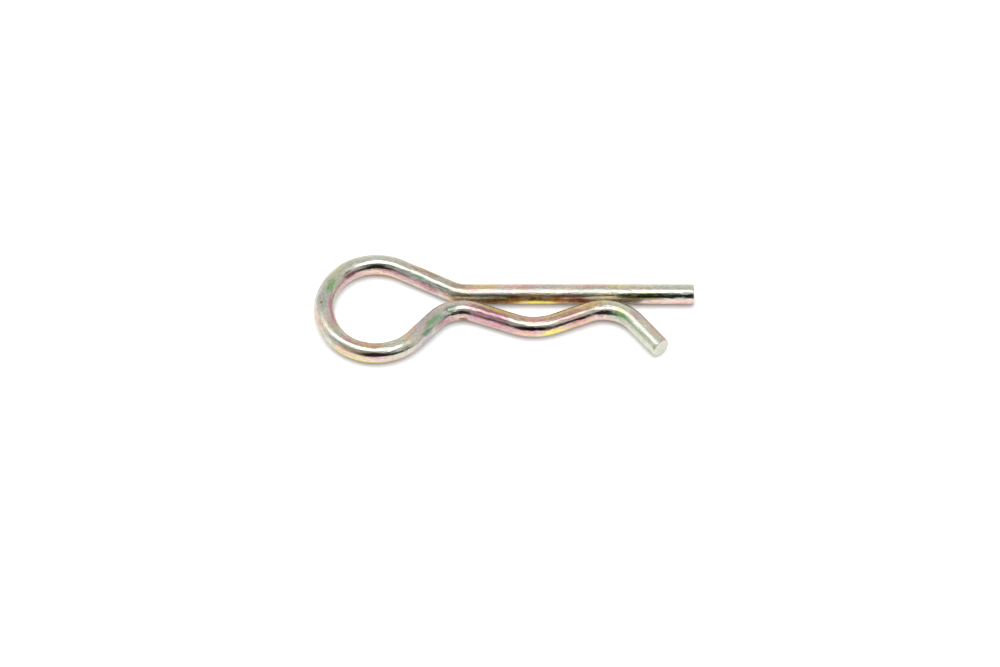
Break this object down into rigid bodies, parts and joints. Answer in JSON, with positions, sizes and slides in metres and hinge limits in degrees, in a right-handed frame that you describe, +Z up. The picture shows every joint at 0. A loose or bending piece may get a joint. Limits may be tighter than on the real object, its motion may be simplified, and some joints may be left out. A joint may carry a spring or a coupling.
{
  "type": "hairpin cotter pin",
  "caption": "Spring-wire hairpin cotter: a straight leg that goes through a cross-drilled shaft, a round eye to pull it by, and a waved leg whose belly grips the shaft's outside.",
  "frame": {"origin": "under the middle of the clip's outline, on the surface that the clip lies on", "axes": "+X along the straight leg towards both leg ends, +Y from the waved leg to the straight leg, +Z up out of the flat that the wire is bent in"},
  "size_m": [0.0568, 0.0202, 0.003],
  "materials": {
    "zinc_wire": "zinc plated spring steel with a yellow iridescent chromate, satin to bright"
  },
  "bodies": {
    "root": {"clip_wire": "zinc_wire"}
  },
  "joints": []
}
